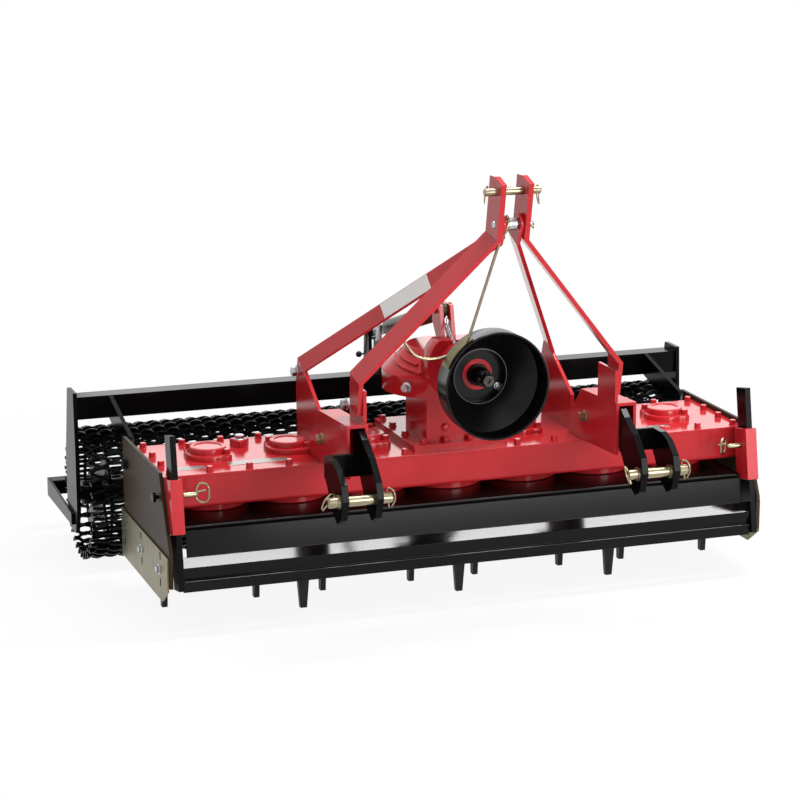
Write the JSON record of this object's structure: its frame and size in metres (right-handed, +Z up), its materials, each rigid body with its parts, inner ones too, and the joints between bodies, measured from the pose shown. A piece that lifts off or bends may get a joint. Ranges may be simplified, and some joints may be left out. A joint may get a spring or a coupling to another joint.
{
  "type": "power harrow",
  "caption": "Mounted power harrow with a row of driven upright rotors, a levelling bar, side plates, a three-point mast and a cage roller.",
  "frame": {"origin": "bottom centre of the machine's box, on the ground under the middle of its width and length, with the tine tips and the roller on the ground", "axes": "+X across the machine to its right as seen from the tractor looking back at it, +Y to the rear away from the tractor, +Z up"},
  "size_m": [1.89, 1.381, 1.203],
  "materials": {
    "red_paint": "gloss powder coat",
    "black_paint": "satin to gloss paint",
    "yellow_zinc": "yellow passivated zinc",
    "white_zinc": "bright zinc",
    "machined_steel": "machined",
    "tine_steel": "black paint on forged steel",
    "guard_plastic": "moulded",
    "olive_paint": "grey-green paint"
  },
  "bodies": {
    "frame": {"trough": "red_paint", "trough_cover": "red_paint", "bearing_caps": "red_paint", "lower_bearings": "red_paint", "stone_guard": "black_paint", "side_plate_left": "black_paint", "side_plate_right": "black_paint", "deflector_left": "yellow_zinc", "deflector_right": "yellow_zinc", "post_guide_left": "red_paint", "post_guide_right": "red_paint", "hitch_box_left": "red_paint", "hitch_box_right": "red_paint", "hitch_ears_left": "black_paint", "hitch_ears_right": "black_paint", "hitch_pin_left": "yellow_zinc", "hitch_pin_right": "yellow_zinc", "mast_left": "red_paint", "mast_right": "red_paint", "rear_brace_left": "red_paint", "rear_brace_right": "red_paint", "top_pin": "yellow_zinc", "second_pin": "white_zinc", "gearbox_base": "red_paint", "gearbox": "red_paint", "drive_guard": "guard_plastic", "guard_cone": "guard_plastic", "guard_neck": "guard_plastic", "jack_bracket": "red_paint"},
    "input_shaft": {"input_shaft": "machined_steel"},
    "levelling_bar": {"levelling_bar": "black_paint", "levelling_posts": "black_paint"},
    "roller_frame": {"roller_beam": "black_paint", "roller_arm_left": "black_paint", "roller_arm_right": "black_paint", "roller_end_left": "black_paint", "roller_end_right": "black_paint", "scraper_bar": "black_paint"},
    "roller": {"roller": "black_paint"},
    "jack_tube": {"jack_tube": "olive_paint"},
    "jack_screw": {"jack_screw": "white_zinc"},
    "rotor_1": {"rotor_1": "tine_steel"},
    "rotor_2": {"rotor_2": "tine_steel"},
    "rotor_3": {"rotor_3": "tine_steel"},
    "rotor_4": {"rotor_4": "tine_steel"},
    "rotor_5": {"rotor_5": "tine_steel"},
    "rotor_6": {"rotor_6": "tine_steel"},
    "rotor_7": {"rotor_7": "tine_steel"}
  },
  "joints": [
    {"name": "rotor_4_spin", "type": "hinge", "parent": "frame", "child": "rotor_4", "pos_m": [0, -0.1455, 0.28], "axis": [0, 0, 1], "continuous": true},
    {"name": "rotor_1_spin", "type": "hinge", "parent": "frame", "child": "rotor_1", "pos_m": [-0.672, -0.1455, 0.28], "axis": [0, 0, 1], "continuous": true},
    {"name": "rotor_2_spin", "type": "hinge", "parent": "frame", "child": "rotor_2", "pos_m": [-0.448, -0.1455, 0.28], "axis": [0, 0, 1], "continuous": true},
    {"name": "rotor_3_spin", "type": "hinge", "parent": "frame", "child": "rotor_3", "pos_m": [-0.224, -0.1455, 0.28], "axis": [0, 0, 1], "continuous": true},
    {"name": "rotor_5_spin", "type": "hinge", "parent": "frame", "child": "rotor_5", "pos_m": [0.224, -0.1455, 0.28], "axis": [0, 0, 1], "continuous": true},
    {"name": "rotor_6_spin", "type": "hinge", "parent": "frame", "child": "rotor_6", "pos_m": [0.448, -0.1455, 0.28], "axis": [0, 0, 1], "continuous": true},
    {"name": "rotor_7_spin", "type": "hinge", "parent": "frame", "child": "rotor_7", "pos_m": [0.672, -0.1455, 0.28], "axis": [0, 0, 1], "continuous": true},
    {"name": "input_shaft_spin", "type": "hinge", "parent": "frame", "child": "input_shaft", "pos_m": [0, -0.4455, 0.64], "axis": [0, 1, 0], "continuous": true},
    {"name": "levelling_bar_height", "type": "slide", "parent": "frame", "child": "levelling_bar", "axis": [0, 0.1736, 0.9848], "range_m": [-0.06, 0.06]},
    {"name": "roller_depth", "type": "hinge", "parent": "frame", "child": "roller_frame", "pos_m": [0, 0.0595, 0.35], "axis": [1, 0, 0], "range_deg": [-4, 20]},
    {"name": "roller_spin", "type": "hinge", "parent": "roller_frame", "child": "roller", "pos_m": [0, 0.3695, 0.192], "axis": [1, 0, 0], "continuous": true},
    {"name": "jack_swing", "type": "hinge", "parent": "frame", "child": "jack_tube", "pos_m": [-0.035, -0.2335, 0.782], "axis": [1, 0, 0], "range_deg": [-2.25, 7.26]},
    {"name": "jack_extension", "type": "slide", "parent": "jack_tube", "child": "jack_screw", "axis": [0, 0.9558, -0.2941], "range_m": [-0.1232, 0.027]}
  ],
  "couplings": [
    {"joint": "rotor_1_spin", "follows": "rotor_4_spin", "ratio": -1},
    {"joint": "rotor_2_spin", "follows": "rotor_4_spin", "ratio": 1},
    {"joint": "rotor_3_spin", "follows": "rotor_4_spin", "ratio": -1},
    {"joint": "rotor_5_spin", "follows": "rotor_4_spin", "ratio": -1},
    {"joint": "rotor_6_spin", "follows": "rotor_4_spin", "ratio": 1},
    {"joint": "rotor_7_spin", "follows": "rotor_4_spin", "ratio": -1},
    {"joint": "input_shaft_spin", "follows": "rotor_4_spin", "ratio": 1.8},
    {"joint": "jack_swing", "follows": "roller_depth", "ratio": 0.3132},
    {"joint": "jack_extension", "follows": "roller_depth", "m_per_rad": -0.3442}
  ]
}
